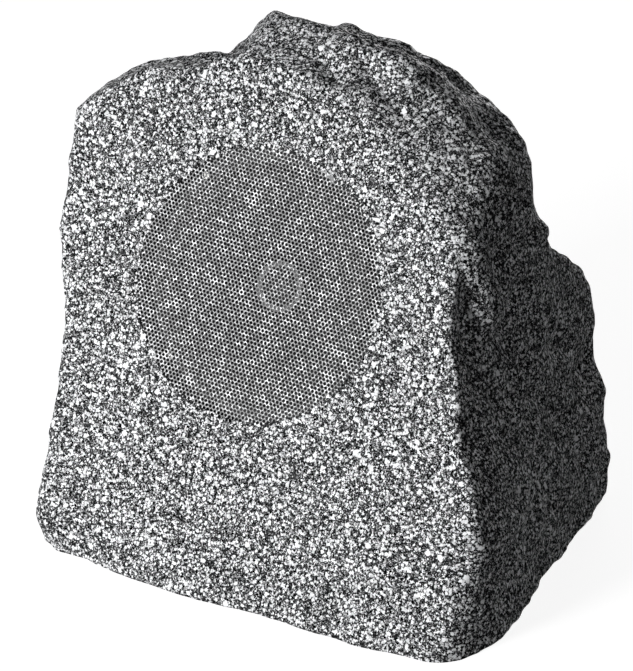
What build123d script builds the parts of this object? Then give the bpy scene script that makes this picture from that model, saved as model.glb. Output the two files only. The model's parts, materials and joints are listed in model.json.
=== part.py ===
from build123d import *
import os
from math import asin, cos, degrees, hypot, pi, radians, sin, sqrt

# Garden speaker moulded as a piece of granite, in millimetres.
# X runs to the right, the grille looks towards -Y, Z is up and the rim stands on Z = 0.
# The origin ends up under the middle of the rock.

# Rock: each facet is (heading, lean, reach). Heading 0 faces the front and 90 the right.
# Lean is how far the facet looks up. Reach is its distance from the core point.
core_x = 15
core_y = 130
core_z = 110
core = Vector(core_x, core_y, core_z)
stock = 900
front_lean = 24
front_reach = 75
front = (0, front_lean, front_reach)
shoulder_stop = 25
right_side = {
    "front_right": (55, 7, 180),
    "right": (97, 5, 141),
    "front_bevel": (28, 47, 133),
    "right_bevel": (50, 44, 146),
    "right_brow": (100, 16, 140),
}
sides = {
    "front": front,
    **right_side,
    "front_left": (-40, -4, 181),
    "left": (-92, -5, 132),
    "back": (182, 12, 103),
    "back_left": (-140, 10, 124),
    "back_right": (133, 10, 133),
    "crown": (122, 50, 173),
}
lumps = {
    "boulder": {
        **sides,
        "top": (160, 84, 170),
        "back_brow": (175, 50, 152),
        "back_left_brow": (-130, 45, 159),
        "left_brow": (-60, 45, 183),
    },
    "shoulder": {
        "front": front,
        "left": (-90, -4, 148),
        "underside": (-88, -18, 128),
        "brow": (-85, 51, 199),
        "top": (-35, 76, 172),
        "top_back": (-158, 48, 156),
        "back": sides["back"],
        "back_left": sides["back_left"],
        "right": (90, 0, -shoulder_stop),
    },
    "crest": {
        **sides,
        "brow": (8, 65, 158),
        "face": (65, 64, 158),
        "crest_left": (-75, 44, 162),
        "crest_back": (175, 64, 183),
    },
    "knuckle": {
        **sides,
        "brow": (10, 50, 130),
        "face": (55, 64, 172),
        "knuckle_left": (-80, 45, 136),
        "knuckle_back": (155, 66, 182),
        "knuckle_top": (85, 72, 187),
    },
    "heel": {
        "front": front,
        **right_side,
        "top": (165, 44, 115),
        "back_right": (140, 2, 165),
        "back": (180, 4, 126),
        "back_left": (-135, 10, 44),
        "left": (-90, 0, 5),
    },
}

# Each bite takes away what lies outside all of its facets, and leaves a hollow under the right-hand ledge
ledge_underside = (40, -54, -42)
bites = {
    "waist": {"ledge": ledge_underside, "above": (86, 5, 122), "below": (92, 23, 124)},
    "flank": {"ledge": ledge_underside, "wall": (98, 12, 132)},
}

# Scallops left by the hewing: shallow round hollows, spread evenly by turning through the golden angle
scallop_count = 66
scallop_r = 80
scallop_depth = 3
scallop_lowest = 38
scallop_from = -27
scallop_to = 72
golden_angle = 137.5
front_share = 0.9

# One that would take more than this share of what it takes from a flat skin lies in a hollow and is left out
flat_share = 1.2

# Round knob on the right flank, placed by its heading and lean from the core
knob_heading = 83
knob_lean = 28
knob_r = 34
knob_height = 5

wall = 6
fit = 0.4

# Grille and the recess that takes it
grille_rise = 185
grille_r = 83.6
grille_sheet = 1
grille_setback = 0.5
grille_margin = 3.6
hole_pitch = 14
hole_r = 4.2
recess_depth = 18
baffle_t = 8
baffle_rim = 6
flange_seat = 10.5

# Woofer frame, along the driver axis from the front face inwards
gasket_t = 2
flange_play = 1.1
flange_width = 13.5
flange_t = 1.6
basket_t = 1.6
landing_drop = 32
landing_outer_r = 47
landing_inner_r = 41
basket_foot_drop = 11
basket_foot_inner_r = 16
window_count = 6
window_angle = 40
window_margin = 4
screw_count = 4
screw_inset = 4.5
screw_head_r = 3.2
screw_head_t = 2.4
screw_shank_r = 1.5
screw_length = 10
screw_play = 0.4

# Woofer moving system
roll_r = 6
roll_inset = 4
surround_t = 0.8
lip_width = 3
cone_t = 1
cone_depth = 27
cone_bulge = 2.5
former_inner_r = 12.9
former_t = 0.3
former_length = 28
former_neck = 2
coil_t = 0.8
coil_height = 12
glue_gap = 0.05
spider_t = 0.6
spider_wave = 1.5
spider_waves = 4
spider_play = 0.3

# Woofer magnet system
plate_inset = 1
top_plate_t = 6
coil_gap = 0.6
magnet_r = 45
magnet_inner_r = 20
magnet_t = 16
back_plate_t = 6
pole_gap = 0.5
pole_rise = 2

# Tweeter carried on a post through the pole
post_r = 4
post_play = 0.2
post_collar_r = 7
post_collar_t = 2
tweeter_depth = 28
tweeter_r = 15
tweeter_ring_inner_r = 11.5
tweeter_ring_t = 2
tweeter_wall = 1.2
tweeter_cup_depth = 9
tweeter_cup_foot_r = 9
tweeter_socket_r = 6.5
tweeter_socket_t = 4
tweeter_magnet_r = 8
tweeter_magnet_t = 3
dome_rise = 3.5
dome_t = 0.5

# Terminals on the basket foot
strip_width = 24
strip_height = 7
strip_t = 1.6
strip_play = 0.3
tab_width = 4.8
tab_length = 8
tab_t = 0.8
tab_spacing = 12

# Base plate, screwed up against a ledge inside the rim
recess_height = 26
base_t = 4
base_gasket_t = 2
ledge_t = 8
ledge_width = 16
base_screw_count = 8
base_screw_r = 2
base_screw_head_r = 4
base_screw_head_t = 2.6
base_screw_length = 16

# Cable gland and the notch that lets a cable out under the rim
gland_left = 25
gland_y = 190
gland_thread_r = 8
gland_flange_r = 11
gland_flange_t = 4
gland_barrel_r = 7.6
gland_barrel_t = 7
gland_bore_r = 5.5
gland_nut_r = 10.5
gland_nut_t = 11
gland_cap_t = 3
seal_bore_r = 3.5
seal_length = 7
seal_play = 0.1
locknut_r = 12
locknut_t = 5
thread_play = 0.2
gland_stub = 3
notch_width = 16
notch_height = 12

# Crossover board on bosses of the base plate
board_x = 10
board_y = 95
board_length = 100
board_width = 70
board_t = 1.6
boss_r = 4
boss_height = 6
boss_inset = 6
board_screw_r = 1.5
board_screw_head_r = 2.8
board_screw_head_t = 2
board_screw_length = 6
inductor_r = 17
inductor_inner_r = 8
inductor_height = 14
inductor_inset = 7
inductor_gap = 3
capacitor_r = 7
capacitor_length = 28
capacitor_spacing = 18
capacitor_inset = 16
capacitor_edge = 7
resistor_length = 25
resistor_width = 9
resistor_height = 9
resistor_inset = 19.5
resistor_edge = 8.5
block_length = 22
block_width = 10
block_height = 11
block_gap = 2.2
block_edge = 5
wire_hole_r = 1.6

hex_row = sqrt(3) / 2


def facet_normal(heading, lean):
    turn = radians(heading)
    rise = radians(lean)
    return Vector(sin(turn) * cos(rise), -cos(turn) * cos(rise), sin(rise))


def hewn(facets, inset, keep):
    # Block cut by each facet in turn, with the facets moved in by the inset
    block = Pos(core) * Box(stock, stock, stock)
    for heading, lean, reach in facets.values():
        out = facet_normal(heading, lean)
        cut = Plane(core + out * (reach - inset), z_dir=out)
        block = split(block, bisect_by=cut, keep=keep)
    return block


def rock(inset=0, bottom=0):
    blocks = [hewn(facets, inset, Keep.BOTTOM) for facets in lumps.values()]
    whole = blocks[0].fuse(*blocks[1:])
    for facets in bites.values():
        whole -= hewn(facets, inset, Keep.TOP)
    return split(whole, bisect_by=Plane.XY.offset(bottom), keep=Keep.TOP).clean()


def skin_point(block, heading, lean):
    # Where a ray from the core leaves the rock, and which way the skin looks there
    ray = facet_normal(heading, lean)
    hits = block.shell().find_intersection_points(Axis(core, ray))
    return max(hits, key=lambda hit: (hit[0] - core).dot(ray))


def ball(centre, radius, seam):
    # The sphere's seam is turned to the side that meets nothing
    return Plane(centre, x_dir=seam, z_dir=seam.cross(Axis.Z.direction)) * Sphere(radius)


def scallop_places(block):
    # Skin points all round, but none in the front or near the ground
    lowest = sin(radians(scallop_from))
    step = (sin(radians(scallop_to)) - lowest) / scallop_count
    spots = [skin_point(block, i * golden_angle, degrees(asin(lowest + step * i))) for i in range(scallop_count)]
    forward = facet_normal(0, front_lean)
    return [(p, out) for p, out in spots if out.dot(forward) < front_share and p.Z > scallop_lowest]


def weathered_rock():
    # The rock with its knob added and its scallops taken out, where the skin is flat or falls away
    block = rock()
    places = scallop_places(block)
    spot, out = skin_point(block, knob_heading, knob_lean)
    block += ball(spot - out * (knob_r - knob_height), knob_r, -out)
    flat_volume = pi * scallop_depth**2 * (scallop_r - scallop_depth / 3)
    for place, away in places:
        hollow = ball(place + away * (scallop_r - scallop_depth), scallop_r, away)
        if (block & hollow).volume < flat_volume * flat_share:
            block -= hollow
    return block


def slab(bottom, thickness):
    return Pos(core.X, core.Y, bottom) * Box(stock, stock, thickness, align=(Align.CENTER, Align.CENTER, Align.MIN))


def layer(inset, bottom, thickness):
    # Slice of the rock's inside, standing in from the outer skin by the inset
    return rock(inset, -ledge_t) & slab(bottom, thickness)


def rod(radius, bottom, height):
    return Pos(0, 0, bottom) * Cylinder(radius, height, align=(Align.CENTER, Align.CENTER, Align.MIN))


def ring(outer, inner, bottom, height):
    return rod(outer, bottom, height) - rod(inner, bottom, height)


def turned(profile):
    # Profile is drawn as (radius, height) and turned about Z
    return revolve(Plane.XZ * profile, axis=Axis.Z)


def outline(*points):
    return make_face(Polyline(*points, close=True))


def hex_points(pitch, radius):
    rows = int(radius / (pitch * hex_row))
    points = []
    for row in range(-rows, rows + 1):
        shift = pitch / 2 if row % 2 else 0
        count = int(radius / pitch) + 1
        for column in range(-count, count + 1):
            point = (column * pitch + shift, row * pitch * hex_row)
            if hypot(*point) <= radius:
                points.append(point)
    return points


# Radii about the driver axis, from the grille inwards
perforated_r = grille_r - grille_margin
flange_r = grille_r - grille_sheet - flange_play
flange_inner_r = flange_r - flange_width
baffle_hole_r = flange_r - flange_seat
screw_circle_r = flange_r - screw_inset
roll_centre_r = flange_inner_r - roll_inset
spider_outer_r = landing_outer_r - basket_t - fit
top_plate_r = landing_inner_r - plate_inset
back_plate_r = top_plate_r

# Heights along the driver axis, zero at the front face
baffle_z = -recess_depth
flange_z = baffle_z + gasket_t
flange_top = flange_z + flange_t
landing_z = flange_z - landing_drop
foot_z = landing_z - basket_foot_drop
former_r = former_inner_r + former_t
coil_r = former_r + glue_gap + coil_t
neck_z = flange_top - cone_depth
former_top = neck_z + former_neck
former_bottom = former_top - former_length
top_plate_z = foot_z - top_plate_t
magnet_z = top_plate_z - magnet_t
back_plate_z = magnet_z - back_plate_t
pole_r = former_inner_r - pole_gap
pole_top = foot_z + pole_rise
tweeter_ring_z = -tweeter_depth - tweeter_ring_t
tweeter_floor = tweeter_ring_z - tweeter_cup_depth
bore_r = post_r + post_play

# Heights of the base, from the ground up
base_z = recess_height
base_top = base_z + base_t
ledge_z = base_top + base_gasket_t
board_z = base_top + boss_height
board_top = board_z + board_t

# Driver axis: square to the front face, up the slope from the ground line
slope = radians(front_lean)
ground_y = core.Y - (front_reach + core.Z * sin(slope)) / cos(slope)
driver_at = Plane(
    origin=(0, ground_y + grille_rise * sin(slope), grille_rise * cos(slope)),
    x_dir=(1, 0, 0),
    z_dir=facet_normal(0, front_lean),
).location
gland_x = -gland_left
gland_at = Pos(gland_x, gland_y, base_z)
board_at = Pos(board_x, board_y, board_top)
board_corners = [
    (x * (board_length / 2 - boss_inset), y * (board_width / 2 - boss_inset))
    for x in (-1, 1)
    for y in (-1, 1)
]
block_x = boss_inset + board_screw_head_r + block_gap + (block_length - board_length) / 2
block_y = (board_width - block_width) / 2 - block_edge
inductor_x = inductor_inset + inductor_r - board_length / 2
inductor_y = block_y - block_width / 2 - inductor_gap - inductor_r
capacitor_x = (board_length - capacitor_length) / 2 - capacitor_inset
capacitor_y = (board_width - capacitor_spacing) / 2 - capacitor_edge - capacitor_r
resistor_x = (board_length - resistor_length) / 2 - resistor_inset
resistor_y = (resistor_width - board_width) / 2 + resistor_edge
screw_places = [loc.position for loc in PolarLocations(screw_circle_r, screw_count, start_angle=45)]
ledge_line = layer(wall + ledge_width / 2, ledge_z, ledge_t).faces().sort_by(Axis.Z)[0].outer_wire()
base_screw_places = [ledge_line @ (i / base_screw_count) for i in range(base_screw_count)]


def holes(places, radius, bottom, height):
    return [Pos(p.X, p.Y, 0) * rod(radius, bottom, height) for p in places]


def screws(places, seat, up, head_r, head_t, shank_r, length):
    # Pan-head screws seated on a height; up is 1 where the heads look up and -1 where they look down
    parts = []
    for p in places:
        head = rod(head_r, seat if up > 0 else seat - head_t, head_t)
        shank = rod(shank_r, seat - length if up > 0 else seat, length)
        top = head.faces().sort_by(Axis.Z)[-1 if up > 0 else 0]
        head = fillet(top.edges(), head_t * 0.4)
        parts.append(Pos(p.X, p.Y, 0) * (head + shank))
    return Compound(parts)


def rock_shell():
    outside = weathered_rock()
    shell = outside - rock(wall, -ledge_t)
    mouth = driver_at * rod(grille_r + fit + baffle_rim, baffle_z - baffle_t, recess_depth + baffle_t)
    shell += outside & mouth
    shell -= driver_at * rod(grille_r + fit, baffle_z, recess_depth + wall)
    shell -= driver_at * rod(baffle_hole_r, baffle_z - baffle_t - wall, baffle_t + 2 * wall)
    for place in screw_places:
        shell -= driver_at * Pos(place) * rod(screw_shank_r + screw_play / 2, baffle_z - baffle_t, baffle_t)
    ledge = layer(wall, ledge_z, ledge_t) - layer(wall + ledge_width, ledge_z, ledge_t)
    shell += ledge
    for hole in holes(base_screw_places, base_screw_r + screw_play / 2, ledge_z, ledge_t):
        shell -= hole
    arch = Rectangle(notch_width, notch_height, align=(Align.CENTER, Align.MIN))
    arch = fillet(arch.vertices().group_by(Axis.Y)[-1], notch_width / 3)
    behind_gland = Plane.XZ.offset(-gland_y)
    return shell - extrude(behind_gland * Pos(gland_x, 0) * arch, amount=-stock)


def grille():
    skin = Circle(grille_r) - [Pos(*p) * Circle(hole_r) for p in hex_points(hole_pitch, perforated_r - hole_r)]
    sheet_z = -grille_setback - grille_sheet
    cap = Pos(0, 0, sheet_z) * extrude(skin, grille_sheet)
    skirt = ring(grille_r, grille_r - grille_sheet, baffle_z, sheet_z - baffle_z)
    return cap + skirt


def driver_gasket():
    pad = ring(flange_r, baffle_hole_r, baffle_z, gasket_t)
    for hole in holes(screw_places, screw_shank_r + screw_play, baffle_z, gasket_t):
        pad -= hole
    return pad


def basket():
    profile = outline(
        (flange_r, flange_top),
        (flange_inner_r, flange_top),
        (landing_outer_r - basket_t, landing_z + basket_t),
        (landing_outer_r - basket_t, landing_z),
        (landing_inner_r - basket_t, landing_z),
        (landing_inner_r - basket_t, foot_z + basket_t),
        (basket_foot_inner_r, foot_z + basket_t),
        (basket_foot_inner_r, foot_z),
        (landing_inner_r, foot_z),
        (landing_inner_r, landing_z - basket_t),
        (landing_outer_r, landing_z - basket_t),
        (landing_outer_r, landing_z + basket_t),
        (flange_inner_r + basket_t, flange_z),
        (flange_r, flange_z),
    )
    frame = turned(profile)
    window_z = landing_z + basket_t + window_margin
    window_height = flange_z - window_margin - window_z
    gate = ring(flange_r, landing_inner_r, window_z, window_height)
    half = radians(window_angle / 2)
    wedge = outline((0, 0), (stock, stock * sin(half) / cos(half)), (stock, -stock * sin(half) / cos(half)))
    gate &= Pos(0, 0, window_z) * extrude(wedge, window_height)
    for turn in PolarLocations(0, window_count):
        frame -= turn * gate
    for hole in holes(screw_places, screw_shank_r + screw_play, flange_z, flange_t):
        frame -= hole
    return frame


def driver_screws():
    return screws(screw_places, flange_top, 1, screw_head_r, screw_head_t, screw_shank_r, screw_length)


def surround():
    outer = roll_r + surround_t / 2
    inner = roll_r - surround_t / 2
    arch = Circle(outer) - Circle(inner) - Rectangle(2 * outer, outer, align=(Align.CENTER, Align.MAX))
    lip = Rectangle(lip_width, surround_t, align=(Align.MIN, Align.MIN))
    section = arch + Pos(inner, 0) * lip + Pos(-inner - lip_width, 0) * lip
    return turned(Pos(roll_centre_r, flange_top) * section)


def cone():
    edge_r = roll_centre_r - roll_r
    rim_r = edge_r - lip_width
    neck_r = former_r + glue_gap
    middle = Vector((rim_r + neck_r) / 2 - cone_bulge, (flange_top + neck_z) / 2 + cone_bulge)
    under = Vector(0, -cone_t)
    front_edge = ThreePointArc((rim_r, flange_top), middle, (neck_r, neck_z))
    back_edge = ThreePointArc((rim_r, flange_top - cone_t), middle + under, (neck_r, neck_z - cone_t))
    rim = Polyline((rim_r, flange_top), (edge_r, flange_top), (edge_r, flange_top - cone_t), (rim_r, flange_top - cone_t))
    neck = Line((neck_r, neck_z), (neck_r, neck_z - cone_t))
    return turned(make_face([*front_edge.edges(), *rim.edges(), *back_edge.edges(), *neck.edges()]))


def coil_former():
    return ring(former_r, former_inner_r, former_bottom, former_length)


def voice_coil():
    return ring(coil_r, former_r + glue_gap, former_bottom, coil_height)


def spider():
    inner = former_r + spider_play
    step = (landing_inner_r - basket_t - inner) / (2 * spider_waves)
    upper = []
    for i in range(2 * spider_waves + 1):
        upper.append((inner + i * step, landing_z + spider_t + (spider_wave if i % 2 else 0)))
    upper.append((spider_outer_r, landing_z + spider_t))
    lower = [(r, z - spider_t) for r, z in reversed(upper)]
    return turned(outline(*upper, *lower))


def top_plate():
    return ring(top_plate_r, coil_r + coil_gap, top_plate_z, top_plate_t)


def magnet():
    return ring(magnet_r, magnet_inner_r, magnet_z, magnet_t)


def pole_yoke():
    yoke = rod(back_plate_r, back_plate_z, back_plate_t) + rod(pole_r, magnet_z, pole_top - magnet_z)
    return yoke - rod(bore_r, back_plate_z, pole_top - back_plate_z)


def tweeter_post():
    post = rod(post_r, back_plate_z, tweeter_floor - back_plate_z)
    return post + rod(post_collar_r, pole_top, post_collar_t)


def tweeter_cup():
    cup = turned(
        outline(
            (0, tweeter_floor),
            (tweeter_cup_foot_r, tweeter_floor),
            (tweeter_r, tweeter_ring_z - tweeter_ring_t),
            (tweeter_r, tweeter_ring_z),
            (tweeter_r - tweeter_wall, tweeter_ring_z),
            (tweeter_r - tweeter_wall, tweeter_ring_z - tweeter_ring_t),
            (tweeter_cup_foot_r, tweeter_floor + tweeter_wall),
            (0, tweeter_floor + tweeter_wall),
        )
    )
    return cup + ring(tweeter_socket_r, bore_r, tweeter_floor - tweeter_socket_t, tweeter_socket_t)


def tweeter_magnet():
    return rod(tweeter_magnet_r, tweeter_floor + tweeter_wall, tweeter_magnet_t)


def cap_arc(bottom):
    # Arc of a ball centred on the axis, from the crown down to the dome's foot
    ball = (tweeter_ring_inner_r**2 + dome_rise**2) / (2 * dome_rise)
    half = asin(tweeter_ring_inner_r / ball) / 2
    crown = bottom + dome_rise
    return ThreePointArc(
        (0, crown), (ball * sin(half), crown - ball + ball * cos(half)), (tweeter_ring_inner_r, bottom)
    )


def tweeter_dome():
    rim_r = tweeter_r - tweeter_wall - fit
    under = tweeter_ring_z - dome_t
    skin = cap_arc(tweeter_ring_z)
    lining = cap_arc(under)
    rim = Polyline(skin @ 1, (rim_r, tweeter_ring_z), (rim_r, under), lining @ 1)
    return turned(make_face([*skin.edges(), *rim.edges(), *lining.edges(), Edge.make_line(skin @ 0, lining @ 0)]))


def tweeter_ring():
    return ring(tweeter_r, tweeter_ring_inner_r + fit, tweeter_ring_z, tweeter_ring_t)


def strip_at():
    middle = (landing_z - basket_t + foot_z) / 2
    return Pos(landing_inner_r + strip_play + strip_t / 2, 0, middle)


def terminal_strip():
    return strip_at() * Box(strip_t, strip_width, strip_height)


def terminal_tabs():
    out = strip_t / 2 + tab_length / 2
    tabs = []
    for side in (-1, 1):
        tabs.append(strip_at() * Pos(out, side * tab_spacing / 2, 0) * Box(tab_length, tab_width, tab_t))
    return Compound(tabs)


def base_plate():
    plate = layer(wall + fit, base_z, base_t)
    for x, y in board_corners:
        boss = rod(boss_r, base_top, boss_height) - rod(board_screw_r + screw_play / 2, base_top, boss_height)
        plate += Pos(board_x + x, board_y + y, 0) * boss
    for hole in holes(base_screw_places, base_screw_r + screw_play, base_z, base_t):
        plate -= hole
    return plate - Pos(gland_x, gland_y, 0) * rod(gland_thread_r + thread_play, base_z, base_t)


def base_gasket():
    seal = layer(wall + fit, base_top, base_gasket_t) - layer(wall + ledge_width, base_top, base_gasket_t)
    for hole in holes(base_screw_places, base_screw_r + screw_play, base_top, base_gasket_t):
        seal -= hole
    return seal


def base_screws():
    return screws(
        base_screw_places, base_z, -1, base_screw_head_r, base_screw_head_t, base_screw_r, base_screw_length
    )


def hexagon(radius, bottom, height):
    return Pos(0, 0, bottom) * extrude(RegularPolygon(radius, 6), height)


def gland_body():
    stem = rod(gland_thread_r, 0, base_t + locknut_t + gland_stub)
    body = hexagon(gland_flange_r, -gland_flange_t, gland_flange_t) + stem
    body += rod(gland_barrel_r, -gland_flange_t - gland_barrel_t, gland_barrel_t)
    length = base_t + locknut_t + gland_stub + gland_flange_t + gland_barrel_t
    return body - rod(gland_bore_r, -gland_flange_t - gland_barrel_t, length)


def gland_seal():
    return ring(gland_bore_r - seal_play, seal_bore_r, -gland_flange_t - gland_barrel_t, seal_length)


def gland_nut():
    bottom = -gland_flange_t - gland_nut_t
    nut = hexagon(gland_nut_r, bottom, gland_nut_t)
    nut -= rod(gland_barrel_r + thread_play, bottom + gland_cap_t, gland_nut_t)
    return nut - rod(seal_bore_r + thread_play, bottom, gland_nut_t)


def gland_locknut():
    return hexagon(locknut_r, base_t, locknut_t) - rod(gland_thread_r + thread_play, base_t, locknut_t)


def crossover_board():
    board = Pos(0, 0, -board_t / 2) * Box(board_length, board_width, board_t)
    for x, y in board_corners:
        board -= Pos(x, y, 0) * rod(board_screw_r + screw_play, -board_t, board_t)
    return board


def board_screws():
    places = [Vector(x, y) for x, y in board_corners]
    return screws(
        places, 0, 1, board_screw_head_r, board_screw_head_t, board_screw_r, board_screw_length
    )


def inductor():
    return Pos(inductor_x, inductor_y, 0) * ring(inductor_r, inductor_inner_r, 0, inductor_height)


def capacitors():
    cans = []
    for side in (-1, 1):
        can = Rot(0, 90, 0) * Cylinder(capacitor_r, capacitor_length)
        flat = Box(capacitor_length, capacitor_r, capacitor_r, align=(Align.CENTER, Align.CENTER, Align.MAX))
        cans.append(Pos(capacitor_x, capacitor_y + side * capacitor_spacing / 2, capacitor_r) * (can + flat))
    return Compound(cans)


def resistor():
    body = Box(resistor_length, resistor_width, resistor_height, align=(Align.CENTER, Align.CENTER, Align.MIN))
    return Pos(resistor_x, resistor_y, 0) * body


def terminal_block():
    body = Box(block_length, block_width, block_height, align=(Align.CENTER, Align.CENTER, Align.MIN))
    for side in (-1, 1):
        port = Rot(90, 0, 0) * Cylinder(wire_hole_r, block_width)
        body -= Pos(side * block_length / 4, block_width / 4, block_height / 3) * port
        body -= Pos(side * block_length / 4, 0, block_height / 2) * rod(wire_hole_r, 0, block_height)
    return Pos(block_x, block_y, 0) * body


shell = rock_shell()
middle = shell.bounding_box().center()
centred = Pos(-middle.X, -middle.Y, 0)

standing = {
    "rock_shell": shell,
    "base_plate": base_plate(),
    "base_gasket": base_gasket(),
    "base_screws": base_screws(),
}
on_driver_axis = [
    grille,
    driver_gasket,
    basket,
    driver_screws,
    surround,
    cone,
    coil_former,
    voice_coil,
    spider,
    top_plate,
    magnet,
    pole_yoke,
    tweeter_post,
    tweeter_cup,
    tweeter_magnet,
    tweeter_dome,
    tweeter_ring,
    terminal_strip,
    terminal_tabs,
]
on_gland = [gland_body, gland_seal, gland_nut, gland_locknut]
on_board = [crossover_board, board_screws, inductor, capacitors, resistor, terminal_block]

os.makedirs("parts", exist_ok=True)
for name, part in standing.items():
    export_step(centred * part, f"parts/{name}.step")
for place, makers in ((driver_at, on_driver_axis), (gland_at, on_gland), (board_at, on_board)):
    for make in makers:
        export_step(centred * place * make(), f"parts/{make.__name__}.step")
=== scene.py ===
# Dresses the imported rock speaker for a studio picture. Sizes are in metres.
import json
import math

import bmesh
import bpy
from mathutils import Matrix, Vector, noise
from mathutils.bvhtree import BVHTree
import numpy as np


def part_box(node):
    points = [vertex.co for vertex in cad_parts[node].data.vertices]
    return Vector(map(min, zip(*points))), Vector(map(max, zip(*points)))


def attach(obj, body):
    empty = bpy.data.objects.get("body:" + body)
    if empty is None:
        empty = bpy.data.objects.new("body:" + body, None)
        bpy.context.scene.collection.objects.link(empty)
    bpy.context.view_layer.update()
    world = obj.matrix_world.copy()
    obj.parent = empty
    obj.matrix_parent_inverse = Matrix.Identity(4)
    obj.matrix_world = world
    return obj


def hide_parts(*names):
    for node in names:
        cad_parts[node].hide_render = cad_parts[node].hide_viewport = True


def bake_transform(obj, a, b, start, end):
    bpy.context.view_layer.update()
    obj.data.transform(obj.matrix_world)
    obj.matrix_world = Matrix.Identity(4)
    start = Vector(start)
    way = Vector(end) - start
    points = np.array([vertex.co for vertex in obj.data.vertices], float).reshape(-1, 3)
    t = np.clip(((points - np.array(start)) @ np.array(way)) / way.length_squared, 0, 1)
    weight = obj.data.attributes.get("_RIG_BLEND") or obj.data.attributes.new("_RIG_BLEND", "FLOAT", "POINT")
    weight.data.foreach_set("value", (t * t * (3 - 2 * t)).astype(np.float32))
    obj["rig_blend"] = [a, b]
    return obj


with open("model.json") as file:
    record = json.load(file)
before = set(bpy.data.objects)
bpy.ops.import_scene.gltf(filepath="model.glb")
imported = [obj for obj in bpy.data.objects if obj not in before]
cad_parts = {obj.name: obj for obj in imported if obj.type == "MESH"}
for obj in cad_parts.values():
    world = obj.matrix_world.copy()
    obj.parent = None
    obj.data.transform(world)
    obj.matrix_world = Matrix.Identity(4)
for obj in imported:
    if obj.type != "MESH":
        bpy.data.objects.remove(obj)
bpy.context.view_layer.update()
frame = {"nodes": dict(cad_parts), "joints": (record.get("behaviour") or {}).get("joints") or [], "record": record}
nodes = frame["nodes"]
scene = bpy.context.scene
print("frame loaded:", len(nodes), "nodes")

# driver frame: x to the right, y up the sloping front, z out of the grille, zero at the sheet's face
driverAxis = Vector(frame["joints"][0]["axis"]).normalized()
grilleLow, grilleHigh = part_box("grille")
grilleRadius = (grilleHigh.x - grilleLow.x) / 2
cupDepth = (grilleHigh.y - grilleLow.y - 2 * grilleRadius * abs(driverAxis.z)) / abs(driverAxis.y)
rightward = Vector((1, 0, 0))
upSlope = driverAxis.cross(rightward)
driverPlace = Matrix((rightward, upSlope, driverAxis)).transposed().to_4x4()
driverPlace.translation = (grilleLow + grilleHigh) / 2 + driverAxis * cupDepth / 2
toDriver = driverPlace.inverted()
shellPoints = [toDriver @ v.co for v in nodes["rock_shell"].data.vertices]
frontLift = max(p.z for p in shellPoints)  # the rock's front face above the sheet
mouthRadius = min(p.xy.length for p in shellPoints if p.z > frontLift - 1e-5)

# mesh helpers
weldGap = 2e-6


def mergedCopy(node):
    shape = bmesh.new()
    shape.from_mesh(nodes[node].data)
    bmesh.ops.remove_doubles(shape, verts=shape.verts, dist=weldGap)
    return shape


def toMesh(shape, name):
    mesh = bpy.data.meshes.new(name)
    shape.to_mesh(mesh)
    shape.free()
    return mesh


def hold(mesh):
    holder = bpy.data.objects.new(mesh.name, mesh)
    scene.collection.objects.link(holder)
    return holder


def baked(holder, name):
    evaluated = holder.evaluated_get(bpy.context.evaluated_depsgraph_get())
    mesh = bpy.data.meshes.new_from_object(evaluated)
    mesh.name = name
    return mesh


def drop(*holders):
    for holder in holders:
        mesh = holder.data
        bpy.data.objects.remove(holder)
        bpy.data.meshes.remove(mesh)


def piece(name, mesh, slot, *replaced):
    made = hold(mesh)
    made.name = name
    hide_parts(*replaced)
    return made


def smoothStep(value, start, end):
    share = min(max((value - start) / (end - start), 0), 1)
    return share * share * (3 - 2 * share)


def islands(shape):
    left = set(shape.verts)
    found = []
    for start in shape.verts:
        if start not in left:
            continue
        left.remove(start)
        edge = [start]
        island = [start]
        while edge:
            for link in edge.pop().link_edges:
                for vert in link.verts:
                    if vert in left:
                        left.remove(vert)
                        edge.append(vert)
                        island.append(vert)
        found.append(island)
    return found


# node helpers
def put(tree, kind, inputs=None, **settings):
    node = tree.nodes.new(kind)
    for name, value in settings.items():
        setattr(node, name, value)
    for key, value in (inputs or {}).items():
        if isinstance(value, bpy.types.NodeSocket):
            tree.links.new(value, node.inputs[key])
        else:
            node.inputs[key].default_value = value
    return node


def calc(tree, operation, first, second=0.0):
    return put(tree, "ShaderNodeMath", {0: first, 1: second}, operation=operation).outputs[0]


def vectorCalc(tree, operation, first, second):
    return put(tree, "ShaderNodeVectorMath", {0: first, 1: second}, operation=operation).outputs[0]


def scaled(tree, vector, factor):
    return put(tree, "ShaderNodeVectorMath", {0: vector, "Scale": factor}, operation="SCALE").outputs[0]


def spread(tree, value, low, high, start=0.0, end=1.0):
    inputs = {"Value": value, "From Min": low, "From Max": high, "To Min": start, "To Max": end}
    return put(tree, "ShaderNodeMapRange", inputs, interpolation_type="SMOOTHSTEP").outputs[0]


def tint(tree, factor, first, second):
    return put(tree, "ShaderNodeMix", {0: factor, 6: first, 7: second}, data_type="RGBA").outputs[2]


def cloud(tree, vector, scale, detail=2.0, roughness=0.5):
    inputs = {"Vector": vector, "Scale": scale, "Detail": detail, "Roughness": roughness}
    return put(tree, "ShaderNodeTexNoise", inputs)


def openGroup(name, kind, given, made):
    group = bpy.data.node_groups.new(name, kind)
    for label, socketType, value in given:
        socket = group.interface.new_socket(label, in_out="INPUT", socket_type="NodeSocket" + socketType)
        if value is not None:
            socket.default_value = value
    for label, socketType in made:
        group.interface.new_socket(label, in_out="OUTPUT", socket_type="NodeSocket" + socketType)
    start = group.nodes.new("NodeGroupInput")
    end = group.nodes.new("NodeGroupOutput")
    return group, start.outputs, end.inputs


def place(tree, group, inputs):
    return put(tree, "ShaderNodeGroup", inputs, node_tree=group).outputs


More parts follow.
